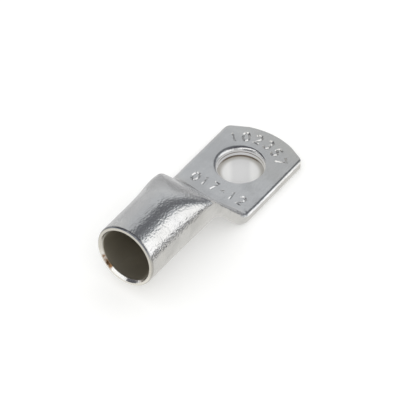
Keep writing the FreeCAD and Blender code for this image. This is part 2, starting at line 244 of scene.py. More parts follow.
# %% Rings found on spokes
HALF_SPOKES = 120
FLAT_SHARE, FOLD_SHARE = 0.34, 0.26
FARTHEST, HALVINGS = 26.0, 44
FLATTEN_FROM, FLATTEN_TO, LEAST_GUIDE = -33.0, -21.5, 9.0


def mirrored(half):
    """A whole ring from its half, which runs from the top's middle to the bottom's middle."""
    other = half[-2:0:-1] * np.array([-1.0, 1.0])
    return np.concatenate([half, other])


def round_guide():
    turn = np.linspace(0, math.pi, HALF_SPOKES + 1)
    return np.stack([TUBE_RADIUS * np.sin(turn), AXIS_Z + TUBE_RADIUS * np.cos(turn)], 1)


def flat_guide(half_width, low, high):
    """A flat ring: its top, its folded end and its underside."""
    flat, end = int(HALF_SPOKES * FLAT_SHARE), int(HALF_SPOKES * FOLD_SHARE)
    under = HALF_SPOKES - flat - end
    middle, thick = (low + high) / 2, (high - low) / 2
    corner = half_width - FOLD_ROUND
    turn = np.linspace(math.pi / 2, -math.pi / 2, end + 1)[1:]
    top = np.stack([np.linspace(0, corner, flat + 1), np.full(flat + 1, high)], 1)
    fold = np.stack([corner + FOLD_ROUND * np.cos(turn), middle + thick * np.sin(turn)], 1)
    back = np.stack([np.linspace(corner, 0, under + 1)[1:], np.full(under, low)], 1)
    return np.concatenate([top, fold, back])


def slide_out(form, x, hub, guide):
    """The points where the spokes from the hub through the guide meet the form."""
    spokes = guide - hub
    spokes = spokes / np.linalg.norm(spokes, axis=1)[:, None]
    low, high = np.zeros(len(guide)), np.full(len(guide), FARTHEST)
    for _ in range(HALVINGS):
        middle = (low + high) / 2
        spot = hub + spokes * middle[:, None]
        outside = form(np.full(len(guide), x), spot[:, 0], spot[:, 1]) > 0
        high = np.where(outside, middle, high)
        low = np.where(outside, low, middle)
    return hub + spokes * ((low + high) / 2)[:, None]


def outer_ring(x):
    here = np.array([x])
    high, low = top_line(here)[0], under_line(here)[0]
    hub = np.array([0.0, min(AXIS_Z, (high + low) / 2)])
    share = float(smooth_step(here, FLATTEN_FROM, FLATTEN_TO)[0])
    guide = round_guide() * (1 - share)
    guide += flat_guide(max(folded_half(here)[0], LEAST_GUIDE), low, high) * share
    ring = slide_out(lug_outside, x, hub, guide)
    return np.column_stack([np.full(2 * HALF_SPOKES, x), mirrored(ring)])


def inner_ring(x):
    roof = inner_roof(x)
    floor = AXIS_Z - BORE_RADIUS
    hub = np.array([0.0, min(AXIS_Z, (roof + floor) / 2)])
    turn = np.linspace(0, math.pi, HALF_SPOKES + 1)
    guide = hub + np.stack([np.sin(turn), np.cos(turn)], 1)
    ring = slide_out(lug_inside, x, hub, guide)
    return np.column_stack([np.full(2 * HALF_SPOKES, x), mirrored(ring)])


def inner_roof(x):
    """Height of the hollow's roof at x."""
    low, high = AXIS_Z - BORE_RADIUS, AXIS_Z + BORE_RADIUS
    for _ in range(40):
        middle = (low + high) / 2
        if above_die(np.array([x]), np.array([middle]))[0] + WALL > 0:
            high = middle
        else:
            low = middle
    return (low + high) / 2


print("widest fold at the palm:", outer_ring(-10.0)[:, 1].max().round(3), "mm")

# %% [markdown]
# The mouth is cut square to the pulled-in wall, so it leans a little. Its outer edge is
# rounded by tumbling, and its inner edge has a small chamfer that guides the strands in. Two
# more rings close to the chamfer's ends keep it flat under smooth shading.

# %% A ring of the mouth
LEAN_DEPTH = 11.0
EDGE_ROUND, ROUND_STEPS = 0.7, 8
CHAMFER_WIDE, CHAMFER_DEEP = 0.55, 0.85


def mouth_ring(radius, depth):
    """A round ring near the mouth; the lean fades with depth."""
    half_turn = np.linspace(0, math.pi, HALF_SPOKES + 1)
    half = np.stack([radius * np.sin(half_turn), AXIS_Z + radius * np.cos(half_turn)], 1)
    ring = mirrored(half)
    fade = smooth_step(np.array([depth]), 1.0, LEAN_DEPTH)[0]
    lean = MOUTH_LEAN * (1 - fade)
    x = MOUTH_X + depth + lean * (ring[:, 1] - AXIS_Z)
    return np.column_stack([x, ring])


print("lean of the mouth:", round(MOUTH_LEAN * 2 * TUBE_RADIUS, 2), "mm from top to bottom")

# %% Rings of the hollow and the mouth
inner_stations = list(np.linspace(-20.35, -24.0, 12)) + list(np.linspace(-24.5, -43.5, 46))
deep_end = np.tile([[-20.2, 0.0, AXIS_Z - BORE_RADIUS + 0.02]], (2 * HALF_SPOKES, 1))
rings = [deep_end] + [inner_ring(x) for x in inner_stations]
rings += [mouth_ring(BORE_RADIUS, depth) for depth in (11.0, 8.0, 5.0, 2.5, 1.2)]
for share in (0.0, 0.1, 0.9, 1.0):
    rings.append(mouth_ring(BORE_RADIUS + CHAMFER_WIDE * share, CHAMFER_DEEP * (1 - share)))
for step in range(ROUND_STEPS + 1):
    turn = math.radians(90 / ROUND_STEPS * step)
    radius = TUBE_RADIUS - EDGE_ROUND * (1 - math.sin(turn))
    rings.append(mouth_ring(radius, EDGE_ROUND * (1 - math.cos(turn))))
rings += [mouth_ring(TUBE_RADIUS, depth) for depth in (1.0, 3.0, 5.0, 7.0, 9.0, LEAN_DEPTH)]
print(len(rings), "rings so far")

# %% Rings of the crown, the ramp, the bend and the palm
outer_stations = np.concatenate([
    np.linspace(-47.2, -32.0, 48), np.linspace(-31.8, -19.4, 70),
    np.linspace(-19.2, -16.9, 14), np.linspace(-16.8, -16.0, 14),
    np.array([-15.5, -14.0, -11.0, -8.0, -4.0, 0.0, 4.0, 8.0, 12.0, 16.0, 19.0])])
rings += [outer_ring(x) for x in outer_stations]
rings.append(np.tile([[19.0, 0.0, PALM_THICK / 2]], (2 * HALF_SPOKES, 1)))
print(len(rings), "rings in the skin")

# %% [markdown]
# A grid with one row for each ring is rolled up into the skin: its points move to the rings,
# the two long edges meet and are merged, and the first and last rows shrink to points, which
# closes the ends.

# %% Roll the grid into the skin
def start_alone():
    """Nothing selected, in object mode."""
    if bpy.context.object and bpy.context.object.mode != "OBJECT":
        bpy.ops.object.mode_set(mode="OBJECT")
    bpy.ops.object.select_all(action="DESELECT")


def make_active(item):
    start_alone()
    item.select_set(True)
    bpy.context.view_layer.objects.active = item


def clean_edit(merge=1e-7):
    """Merges doubles and turns the faces outwards."""
    bpy.ops.object.mode_set(mode="EDIT")
    bpy.ops.mesh.select_all(action="SELECT")
    bpy.ops.mesh.remove_doubles(threshold=merge)
    bpy.ops.mesh.normals_make_consistent(inside=False)
    bpy.ops.object.mode_set(mode="OBJECT")


start_alone()
columns = 2 * HALF_SPOKES
bpy.ops.mesh.primitive_grid_add(x_subdivisions=columns, y_subdivisions=len(rings) - 1, size=1)
skin = bpy.context.object
skin.name = skin.data.name = "lug_skin"
spots = np.empty(len(skin.data.vertices) * 3)
skin.data.vertices.foreach_get("co", spots)
spots = spots.reshape(-1, 3)
column = np.rint((spots[:, 0] + 0.5) * columns).astype(int) % columns
row = np.rint((spots[:, 1] + 0.5) * (len(rings) - 1)).astype(int)
skin.data.vertices.foreach_set("co", (np.array(rings)[row, column] * MM).ravel())
skin.data.update()
clean_edit()
print("skin faces:", len(skin.data.polygons))

# %% [markdown]
# ## Trim the tip and punch the hole
#
# The flat end is sheared: a shallow arc in front, a straight cut at each corner, and small
# rounds between them. The near corner is a little fuller than the far one. The same is done
# here with a blank of that outline, and what lies in both stays.

# %% The outline of the palm
def rounded_outline(corners, steps=10):
    """Points of an outline whose corners (x, y, radius) are rounded."""
    points = []
    count = len(corners)
    for i in range(count):
        here = np.array(corners[i][:2])
        before = np.array(corners[i - 1][:2]) - here
        after = np.array(corners[(i + 1) % count][:2]) - here
        radius = corners[i][2]
        if not radius:
            points.append(here)
            continue
        before, after = before / np.linalg.norm(before), after / np.linalg.norm(after)
        half = math.acos(float(np.clip(before @ after, -1, 1))) / 2
        centre = here + (before + after) / np.linalg.norm(before + after) * radius / math.sin(half)
        first = here + before * radius / math.tan(half) - centre
        last = here + after * radius / math.tan(half) - centre
        start = math.atan2(first[1], first[0])
        turn = (math.atan2(last[1], last[0]) - start + math.pi) % (2 * math.pi) - math.pi
        for k in range(steps + 1):
            angle = start + turn * k / steps
            points.append(centre + radius * np.array([math.cos(angle), math.sin(angle)]))
    return points


ARC_RADIUS, ARC_HALF, ARC_EXTRA, ARC_SHIFT, ARC_ROUND = 24.0, 7.6, 0.6, -1.0, 3.0
CUT_X, CUT_ROUND, NEAR_CUT_X, NEAR_CUT_ROUND = 11.3, 4.0, 12.8, 3.0
BLANK_HALF, BLANK_BACK, BLANK_LOW, BLANK_HIGH = PALM_HALF + 0.06, -75.0, -5, 40
arc = [(TIP_X - ARC_RADIUS + math.sqrt(ARC_RADIUS ** 2 - (y - ARC_SHIFT) ** 2), y, 0)
       for y in np.linspace(-ARC_HALF - ARC_EXTRA, ARC_HALF, 25)]
arc[0] = (*arc[0][:2], ARC_ROUND)
arc[-1] = (*arc[-1][:2], ARC_ROUND)
outline = rounded_outline([
    (NEAR_CUT_X, -BLANK_HALF, NEAR_CUT_ROUND), *arc, (CUT_X, BLANK_HALF, CUT_ROUND),
    (BLANK_BACK, BLANK_HALF, 0), (BLANK_BACK, -BLANK_HALF, 0)])
print("outline points:", len(outline))

# %% The blank of that outline
start_alone()
bpy.ops.mesh.primitive_circle_add(vertices=len(outline), radius=1, fill_type="NGON")
blank = bpy.context.object
blank.name = "shear_blank"
for vertex, spot in zip(blank.data.vertices, outline):
    vertex.co = Vector((spot[0] * MM, spot[1] * MM, BLANK_LOW * MM))
bpy.ops.object.mode_set(mode="EDIT")
bpy.ops.mesh.select_all(action="SELECT")
bpy.ops.mesh.extrude_region_move(TRANSFORM_OT_translate={"value": (0, 0, BLANK_HIGH * MM)})
bpy.ops.object.mode_set(mode="OBJECT")
make_active(blank)
clean_edit()
print("blank faces:", len(blank.data.polygons))


# %% Cut with a tool
def cut_with(piece, tool, operation):
    """Applies one boolean cut and throws the tool away."""
    make_active(piece)
    bpy.ops.object.modifier_add(type="BOOLEAN")
    cut = piece.modifiers[-1]
    cut.operation = operation
    cut.solver = "EXACT"
    cut.object = tool
    bpy.ops.object.modifier_apply(modifier=cut.name)
    bpy.data.objects.remove(tool)
    print(operation.lower(), "leaves", len(piece.data.polygons), "faces")


cut_with(skin, blank, "INTERSECT")

# %% [markdown]
# The punch that makes the stud hole drags the upper face in with it, so its cutter widens
# towards the top in a quarter round. The drag is strong on the far side and next to nothing on
# the near side, so the round leans.

# %% A cutter for the stud hole
ROLL_WIDE, ROLL_DEEP, ROLL_STEPS = 0.85, 1.35, 9
ROLL_LEAN = Vector((0.33, 0.72, 0.0))
PUNCH_DEPTH, PUNCH_SIDES = 3, 144

start_alone()
bpy.ops.mesh.primitive_cylinder_add(
    vertices=PUNCH_SIDES, radius=HOLE_RADIUS * MM, depth=PUNCH_DEPTH * MM,
    location=(0, 0, (PALM_THICK - ROLL_DEEP - PUNCH_DEPTH / 2) * MM))
punch = bpy.context.object
bpy.ops.object.transform_apply(location=True)
bpy.ops.object.mode_set(mode="EDIT")
bpy.ops.mesh.select_all(action="DESELECT")
work = bmesh.from_edit_mesh(punch.data)
for face in work.faces:
    face.select = face.normal.z > 0.9
bmesh.update_edit_mesh(punch.data)
print("open end of the punch:", sum(face.select for face in work.faces), "face")

# %% Punch the stud hole
level, radius, middle = PALM_THICK - ROLL_DEEP, HOLE_RADIUS, Vector((0, 0, 0))
for step in range(1, ROLL_STEPS + 1):
    turn = math.radians(10 * step)
    next_level = PALM_THICK - ROLL_DEEP * (1 - math.sin(turn))
    next_radius = HOLE_RADIUS + ROLL_WIDE * (1 - math.cos(turn))
    next_middle = ROLL_LEAN * (1 - math.cos(turn))
    move = (next_middle - middle + Vector((0, 0, next_level - level))) * MM
    bpy.ops.mesh.extrude_region_move(TRANSFORM_OT_translate={"value": move})
    grow = next_radius / radius
    bpy.ops.transform.resize(value=(grow, grow, 1), center_override=next_middle * MM)
    level, radius, middle = next_level, next_radius, next_middle
bpy.ops.mesh.extrude_region_move(TRANSFORM_OT_translate={"value": (0, 0, 2 * MM)})
bpy.ops.transform.resize(value=(1.2, 1.2, 1), center_override=(0, 0, 0))
bpy.ops.object.mode_set(mode="OBJECT")
clean_edit()
cut_with(skin, punch, "DIFFERENCE")

# %% [markdown]
# The palm is two walls of the tube pressed together, so a fine parting line runs around the
# hole's wall at half the thickness. It is a shallow groove, turned with a thin ring.

# %% The parting line in the hole
LINE_RADIUS, LINE_SHIFT = 0.08, 0.02

start_alone()
bpy.ops.mesh.primitive_torus_add(
    major_radius=(HOLE_RADIUS + LINE_SHIFT) * MM, minor_radius=LINE_RADIUS * MM,
    major_segments=PUNCH_SIDES, minor_segments=8, location=(0, 0, WALL * MM))
groove = bpy.context.object
bpy.ops.object.transform_apply(location=True)
cut_with(skin, groove, "DIFFERENCE")

# %% [markdown]
# ## Stamped figures
#
# Lugs of this kind carry stamps on the upper face of the palm: a row across it and a row along
# the tip. Plain figures stand in for them here. A stamp leaves grooves with sloping walls, so
# each figure is written as one stroke, a square bar follows the stroke with an edge down, and
# that edge is cut out of the palm.

# %% Strokes of the figures
def bow(middle, radius, first, last, squash=1.0, steps=9):
    """Points on an arc; angles in degrees, counted from the right."""
    turns = [math.radians(first + (last - first) * i / steps) for i in range(steps + 1)]
    return [(middle[0] + radius * math.cos(turn), middle[1] + radius * squash * math.sin(turn))
            for turn in turns]


FIGURES = {
    "0": bow((0.0, 0.0), 0.31, 0, 345, squash=1.6, steps=15),
    "1": [(-0.14, 0.30), (0.02, 0.5), (0.02, -0.5)],
    "2": bow((0.0, 0.22), 0.28, 160, -35) + [(-0.28, -0.48), (0.30, -0.48)],
    "3": bow((-0.02, 0.25), 0.25, 150, -60) + bow((-0.02, -0.24), 0.27, 50, -150),
    "5": [(0.26, 0.5), (-0.20, 0.5), (-0.24, 0.08)] + bow((0.0, -0.18), 0.30, 110, -150),
    "7": [(-0.28, 0.5), (0.28, 0.5), (-0.06, -0.5)],
    "-": [(-0.2, 0.0), (0.2, 0.0)],
}
print("figures at hand:", " ".join(FIGURES))

# %% A bar along a stroke, and its groove
STROKE_RADIUS, STROKE_DEEP = 0.56, 0.41
GRID_SIZE, SMOOTHINGS = 0.08, 2


def add_stroke(figure, spot, turn, height):
    """A square bar along one figure's stroke, with its lower edge sunk in the palm."""
    curve = bpy.data.curves.new("stroke", "CURVE")
    curve.dimensions = "3D"
    curve.bevel_depth = STROKE_RADIUS * MM
    curve.bevel_resolution = 0
    curve.twist_mode = "Z_UP"
    curve.use_fill_caps = True
    line = curve.splines.new("POLY")
    points = FIGURES[figure]
    line.points.add(len(points) - 1)
    line.use_cyclic_u = figure == "0"
    angle = math.radians(turn)
    level = PALM_THICK - STROKE_DEEP + STROKE_RADIUS
    for point, (u, v) in zip(line.points, points):
        x = spot[0] + height * (u * math.cos(angle) - v * math.sin(angle))
        y = spot[1] + height * (u * math.sin(angle) + v * math.cos(angle))
        point.co = (x * MM, y * MM, level * MM, 1)
    item = bpy.data.objects.new("stroke", curve)
    bpy.context.collection.objects.link(item)
    return item


def press_in(strokes):
    """Turns a row's strokes into one clean solid and cuts it from the palm."""
    make_active(strokes[0])
    for item in strokes:
        item.select_set(True)
    bpy.ops.object.convert(target="MESH")
    bpy.ops.object.join()
    tool = bpy.context.object
    bpy.ops.object.modifier_add(type="REMESH")
    tool.modifiers[-1].mode = "VOXEL"
    tool.modifiers[-1].voxel_size = GRID_SIZE * MM
    bpy.ops.object.modifier_apply(modifier=tool.modifiers[-1].name)
    bpy.ops.object.modifier_add(type="SMOOTH")
    tool.modifiers[-1].iterations = SMOOTHINGS
    bpy.ops.object.modifier_apply(modifier=tool.modifiers[-1].name)
    cut_with(skin, tool, "DIFFERENCE")


# %% Press the two rows
ROW_X, ROW_START, ROW_STEP, ROW_HEIGHT = -11.9, 8.5, 3.45, 3.3
straight_row = [add_stroke(figure, (ROW_X, ROW_START - ROW_STEP * place), -90.0, ROW_HEIGHT)
                for place, figure in enumerate("017-12")]
press_in(straight_row)

ARC_MIDDLE, ARC_START, ARC_STEP, ARC_HEIGHT = 12.4, 46.0, 18.2, 3.5
tip_row = []
for place, figure in enumerate("102357"):
    turn = ARC_START - ARC_STEP * place
    spot = (ARC_MIDDLE * math.cos(math.radians(turn)), ARC_MIDDLE * math.sin(math.radians(turn)))
    tip_row.append(add_stroke(figure, spot, turn - 90.0, ARC_HEIGHT))
press_in(tip_row)

# %% [markdown]
# ## Smooth shading
#
# The faces are shaded smooth up to the sheared edges, and each corner's normal leans towards
# its largest face, so that the flat palm stays flat right up to its holes and edges.

# %% Shade the skin
LAST_MERGE, SHARP_FROM = 2e-6, math.radians(40)

make_active(skin)
clean_edit(merge=LAST_MERGE)
bpy.ops.object.shade_smooth_by_angle(angle=SHARP_FROM)
bpy.ops.object.modifier_add(type="WEIGHTED_NORMAL")
skin.modifiers[-1].keep_sharp = True
bpy.ops.object.modifier_apply(modifier=skin.modifiers[-1].name)
check = bmesh.new()
check.from_mesh(skin.data)
open_edges = sum(1 for edge in check.edges if len(edge.link_faces) != 2)
print("open edges:", open_edges, "volume in cubic mm:", round(check.calc_volume() / MM ** 3))
check.free()


# %% [markdown]
# ## Shader helper
#
# One small class wraps a socket, so that sums and products of masks can be written as plain
# Python. Any other node comes from one method that takes its type, settings and inputs.

# %% Socket arithmetic
class Value:
    def __init__(self, sheet, socket):
        self.sheet, self.socket = sheet, socket

    def maths(self, operation, *others):
        return self.sheet.node("ShaderNodeMath", {"operation": operation}, [self, *others])

    def __add__(self, other):
        return self.maths("ADD", other)

    def __mul__(self, other):
        return self.maths("MULTIPLY", other)

    def __sub__(self, other):
        return self.maths("SUBTRACT", other)

    def __rsub__(self, other):
        return self.sheet.node("ShaderNodeMath", {"operation": "SUBTRACT"}, [other, self])

    __radd__, __rmul__ = __add__, __mul__

    def limited(self):
        return self.sheet.node("ShaderNodeClamp", {}, [self])


class NodeSheet:
    """The nodes of one material or world."""

    def __init__(self, owner):
        owner.use_nodes = True
        self.tree = owner.node_tree
        self.tree.nodes.clear()

    def node(self, kind, settings=None, inputs=(), output=0):
        made = self.tree.nodes.new(kind)
        for name, setting in (settings or {}).items():
            setattr(made, name, setting)
        pairs = inputs.items() if isinstance(inputs, dict) else enumerate(inputs)
        for name, content in pairs:
            if isinstance(content, Value):
                self.tree.links.new(content.socket, made.inputs[name])
            elif content is not None:
                made.inputs[name].default_value = content
        return Value(self, made.outputs[output]) if made.outputs else made

    def part_of(self, value, output):
        """Another output of the node behind a value."""
        return Value(self, value.socket.node.outputs[output])

    def fade(self, value, low, high):
        """0 at low, 1 at high, soft between; low may be the larger."""
        settings = {"interpolation_type": "SMOOTHSTEP"}
        if low < high:
            return self.node("ShaderNodeMapRange", settings, [value, low, high, 0.0, 1.0])
        return self.node("ShaderNodeMapRange", settings, [value, high, low, 1.0, 0.0])

    def noise(self, vector, scale, detail):
        """Soft noise from 0 to 1 with a scale in cells per metre."""
        inputs = {"Vector": vector, "Scale": scale, "Detail": detail}
        return self.node("ShaderNodeTexNoise", {}, inputs)

    def stretch(self, vector, turn, scale):
        """The same place, turned and stretched for streaks."""
        inputs = {"Vector": vector, "Rotation": turn, "Scale": scale}
        return self.node("ShaderNodeMapping", {}, inputs)

    def root(self, value):
        return self.node("ShaderNodeMath", {"operation": "SQRT"}, [value])

    def split(self, vector):
        parts = self.node("ShaderNodeSeparateXYZ", {}, [vector])
        return parts, self.part_of(parts, "Y"), self.part_of(parts, "Z")

    def blend(self, share, first, second):
        return self.node("ShaderNodeMix", {"data_type": "RGBA"},
                         {"Factor": share, 6: first, 7: second}, output=2)


# %% [markdown]
# ## Tin over copper
#
# Tin plating is a soft, bright grey metal with a slightly grainy skin: the bath leaves a fine
# orange peel, and handling adds faint scratches. Where the mouth's chamfer was cut or rubbed
# the copper glows through in warm spots.

# %% Where the finish changes
def lug_masks(sheet, x_along, y_across, z_up):
    """Masks by name, 1 where the finish differs or shade is painted; each fade runs between two
    places in metres.
    """
    above = z_up - AXIS_Z * MM
    from_axis = sheet.root(y_across * y_across + above * above)
    from_mouth = x_along - MOUTH_X * MM - above * MOUTH_LEAN
    from_hole = sheet.root(x_along * x_along + y_across * y_across)
    drop = z_up - CROWN_CENTRE[1] * MM
    back = sheet.node("ShaderNodeMath", {"operation": "MAXIMUM"},
                      [x_along - CROWN_CENTRE[0] * MM, 0.0])

    inside = sheet.fade(from_axis, 0.00885, 0.00865) * sheet.fade(x_along, -0.0589, -0.0580)
    inside = inside * sheet.fade(sheet.root(drop * drop + back * back), 0.0213, 0.0209)
    foot = sheet.fade(from_axis, 0.0083, 0.0085) * sheet.fade(from_axis, 0.0094, 0.0091)
    foot = foot * sheet.fade(x_along, -0.0570, -0.0582) * sheet.fade(y_across, 0.0043, 0.0048)
    foot = foot * sheet.fade(z_up, 0.0105, 0.0095)
    # the mouth's end face is darker over its upper part
    face = sheet.fade(from_mouth, 0.0009, 0.0007) * sheet.fade(z_up, 0.0100, 0.0130)
    # painted shade: a dark line along the mouth's outer rounding, strongest towards the top
    rim = sheet.fade(from_axis, 0.00975, 0.00990) * sheet.fade(from_mouth, 0.00062, 0.00045)
    rim = rim * (0.35 + 0.65 * sheet.fade(z_up, 0.0170, 0.0215))
    line = sheet.fade(z_up, 0.00148, 0.00155) * sheet.fade(z_up, 0.00182, 0.00175)
    line = line * sheet.fade(from_hole, 0.0077, 0.0076)
    return {"inside": inside, "foot": foot, "face": face, "rim": rim, "line": line,
            "flat": sheet.fade(x_along, -0.0215, -0.0175),
            "mouth": sheet.fade(x_along, -0.0572, -0.0578),
            "tip": sheet.fade(x_along, 0.007, 0.0155)}


# %% Grain, clouds and scratches
def tin_patterns(sheet, place):
    """Noise by name: orange peel in two sizes, soft waves, clouds and fine scratches."""
    along = sheet.stretch(place, (0.0, 0.0, 0.45), (160.0, 5200.0, 900.0))
    across = sheet.stretch(place, (0.0, 0.0, -0.9), (260.0, 7000.0, 900.0))
    return {"grain": sheet.noise(place, 1550.0, 0.5),
            "fine": sheet.noise(place, 3300.0, 1.0),
            "waves": sheet.noise(place, 330.0, 1.0),
            "clouds": sheet.noise(place, 120.0, 4.0),
            "spread": sheet.noise(place, 45.0, 2.0),
            "rubbing": sheet.noise(place, 900.0, 2.0),
            "scratch": sheet.noise(along, 1.0, 2.0) * 0.6 + sheet.noise(across, 1.0, 2.0) * 0.4}


# %% [markdown]
# The colours are the metal's own, save for painted shade: bright and dull tin, a warmer tint
# towards the tip, bare copper, the dark hollow, the mouth's end face, darker over its upper
# part, a painted dark line of shade along its outer rounding, and the parting line in the
# hole. Each is laid over the ones before it.

# %% Colours of the tin
BRIGHT, DULL, WARM = (0.79, 0.79, 0.785, 1.0), (0.71, 0.71, 0.705, 1.0), (0.76, 0.745, 0.70, 1.0)
COPPER, HOLLOW = (0.24, 0.13, 0.055, 1.0), (0.48, 0.45, 0.38, 1.0)
# the second colour here is painted shade for the mouth's outer rounding
MOUTH_FACE, PAINTED_RIM_SHADE = (0.60, 0.595, 0.575, 1.0), (0.21, 0.22, 0.24, 1.0)
PARTING = (0.25, 0.17, 0.11, 1.0)


def tin_colour(sheet, masks, patterns):
    warm = (sheet.fade(patterns["spread"], 0.5, 0.75) * 0.5 + masks["tip"] * 0.6).limited()
    rubbed = masks["foot"] * (0.55 + 0.45 * sheet.fade(patterns["rubbing"], 0.4, 0.6))
    colour = sheet.blend(sheet.fade(patterns["clouds"], 0.38, 0.62), BRIGHT, DULL)
    # the rim layer paints a dark line of shade along the mouth's outer rounding
    layers = [(warm, WARM), (rubbed, COPPER), (masks["inside"], HOLLOW),
              (masks["face"], MOUTH_FACE), (masks["rim"], PAINTED_RIM_SHADE), (masks["line"], PARTING)]
    for share, paint in layers:
        colour = sheet.blend(share, colour, paint)
    return colour


# %% The tin finish
PEEL_HEIGHT = 0.0001


def make_tin():
    material = bpy.data.materials.new("tinned_copper")
    sheet = NodeSheet(material)
    place = sheet.node("ShaderNodeTexCoord", output="Object")
    masks = lug_masks(sheet, *sheet.split(place))
    patterns = tin_patterns(sheet, place)
    inside, clouds, scratch = masks["inside"], patterns["clouds"], patterns["scratch"]

    peel = (1.0 - masks["flat"] * 0.65 - masks["mouth"] * 0.8) * (1.0 - inside * 0.75)
    grain = patterns["grain"] + patterns["fine"] * 0.45 + patterns["waves"] * 0.05
    bump = sheet.node("ShaderNodeBump", {}, {"Strength": 1.0, "Distance": PEEL_HEIGHT,
                                             "Height": grain * peel + scratch * 0.09})
    rough = 0.16 + 0.05 * sheet.fade(clouds, 0.3, 0.7) + 0.06 * sheet.fade(scratch, 0.52, 0.62)
    metal = sheet.node("ShaderNodeBsdfPrincipled", {},
                       {"Base Color": tin_colour(sheet, masks, patterns), "Metallic": 1.0,
                        "Roughness": rough + inside * 0.4, "Normal": bump})
    sheet.node("ShaderNodeOutputMaterial", {}, {"Surface": metal})
    return material


skin.data.materials.clear()
skin.data.materials.append(make_tin())
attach(skin, "root")
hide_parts("cable_lug")
print("skin wears", skin.data.materials[0].name)

# %% [markdown]
# ## Floor, light and camera
#
# Bright metal shows its surroundings, so the light is built as a product table: a white
# floor, grey cards on the tube's far side, a bright one on its near side, and a dark gap
# between them. The floor carries the white background and keeps the shadow.
#
# Through the stud hole the camera sees a small patch of floor, which the hole's bright wall
# lights unevenly: lightest at two sides, beige towards the edge, brown along the far edge.
# That light and shade is painted into the patch's colour, a painted shadow with a painted
# contact shadow along the far edge, by the distance from the hole's middle.

# %% Painted shade of the floor under the hole
def painted_shade_under_hole(sheet, x_along, y_across, away):
    """The patch's painted light and shade; each fade runs between two distances in metres."""
    aside = sheet.node("ShaderNodeMath", {"operation": "ABSOLUTE"},
                       [x_along * 0.59 - y_across * 0.81])
    beyond = x_along * 0.81 + y_across * 0.59
    # painted contact shadow, brown, along the hole's far edge
    brown = sheet.fade(away, 0.0068, 0.0072) * sheet.fade(beyond, 0.0030, 0.0062)
    # painted light at two sides, painted shade in the middle and a beige shade towards the edge
    tone = sheet.blend(sheet.fade(aside, 0.0020, 0.0040),
                       (0.69, 0.69, 0.69, 1.0), (0.83, 0.83, 0.82, 1.0))
    tone = sheet.blend(sheet.fade(away, 0.0052, 0.0068), tone, (0.50, 0.485, 0.455, 1.0))
    return sheet.blend(brown, tone, (0.22, 0.18, 0.145, 1.0))


# %% Floor
FLOOR_SIZE, FLOOR_GLOW = 12.0, 0.12
FLOOR_PAINT, WHITE = (0.93, 0.93, 0.92, 1.0), (1.0, 1.0, 1.0, 1.0)


def make_floor():
    start_alone()
    bpy.ops.mesh.primitive_plane_add(size=FLOOR_SIZE)
    floor = bpy.context.object
    floor.name = "floor"
    material = bpy.data.materials.new("floor_white")
    sheet = NodeSheet(material)
    rays = sheet.node("ShaderNodeLightPath")
    seen = (sheet.part_of(rays, "Is Camera Ray") + sheet.part_of(rays, "Is Glossy Ray")
            + sheet.part_of(rays, "Is Transmission Ray")).limited()
    paint = sheet.node("ShaderNodeBsdfDiffuse", {}, {"Color": FLOOR_PAINT})
    glow = sheet.node("ShaderNodeEmission", {}, {"Color": WHITE, "Strength": FLOOR_GLOW})
    lit = sheet.node("ShaderNodeAddShader", {}, [paint, glow])
    seen_floor = sheet.node("ShaderNodeMixShader", {}, [seen, paint, lit])

    x_along, y_across, _ = sheet.split(sheet.node("ShaderNodeTexCoord", output="Object"))
    away = sheet.root(x_along * x_along + y_across * y_across)
    # the floor under the stud hole carries painted shadow instead of its lit colour
    tones = painted_shade_under_hole(sheet, x_along, y_across, away)
    under_hole = sheet.node("ShaderNodeBsdfDiffuse", {}, {"Color": tones})
    both = sheet.node("ShaderNodeMixShader", {},
                      [sheet.fade(away, 0.0090, 0.0085), seen_floor, under_hole])
    sheet.node("ShaderNodeOutputMaterial", {}, {"Surface": both})
    floor.data.materials.append(material)
    print(floor.name, "is", FLOOR_SIZE, "m wide")


make_floor()


# %% World
def make_world():
    world = bpy.data.worlds.new("studio")
    bpy.context.scene.world = world
    sheet = NodeSheet(world)
    light = sheet.node("ShaderNodeBackground", {}, {"Color": WHITE, "Strength": 1.0})
    sheet.node("ShaderNodeOutputWorld", {}, {"Surface": light})
    print("world:", world.name)


make_world()


# %% [markdown]
# The tube is a long mirror: from one camera each line along it shows one direction across the
# table. So the cards stand like a tent about the tube's line, and each is given by the span
# of angles that it fills, from straight up towards the camera's side.

# %% Make a card
CENTRE = Vector((-0.025, 0.0, 0.012))
REACH = 0.5


def facing_turn(outward):
    """The turn that lays a card square to a direction, with its X along the tube."""
    across = Vector((1, 0, 0))
    return Matrix((across, outward.cross(across), outward)).transposed().to_euler()


def card_paint(name, colour):
    """A plain glow: a card is as bright as its colour says, whatever lights the table."""
    material = bpy.data.materials.new(name)
    sheet = NodeSheet(material)
    glow = sheet.node("ShaderNodeEmission", {}, {"Color": (*colour, 1.0), "Strength": 1.0})
    sheet.node("ShaderNodeOutputMaterial", {}, {"Surface": glow})
    return material


def place_card(name, colour, spot, turn, scale):
    """A plane that only shows in the metal."""
    start_alone()
    bpy.ops.mesh.primitive_plane_add(size=1.0, location=spot, rotation=turn)
    card = bpy.context.object
    card.name = name
    card.scale = scale
    card.data.materials.append(card_paint(name, colour))
    card.visible_camera = card.visible_diffuse = card.visible_shadow = False


def add_card(name, first, last, left, right, colour):
    """A card over a span of angles about the tube, from left to right along it."""
    turn = math.radians((first + last) / 2)
    outward = Vector((0, -math.sin(turn), math.cos(turn)))
    spot = CENTRE + outward * REACH
    spot.x = (left + right) / 2
    width = 2 * REACH * math.tan(math.radians(abs(last - first) / 2))
    place_card(name, colour, spot, facing_turn(outward), (right - left, width, 1.0))


print("cards stand", REACH, "m from the tube")

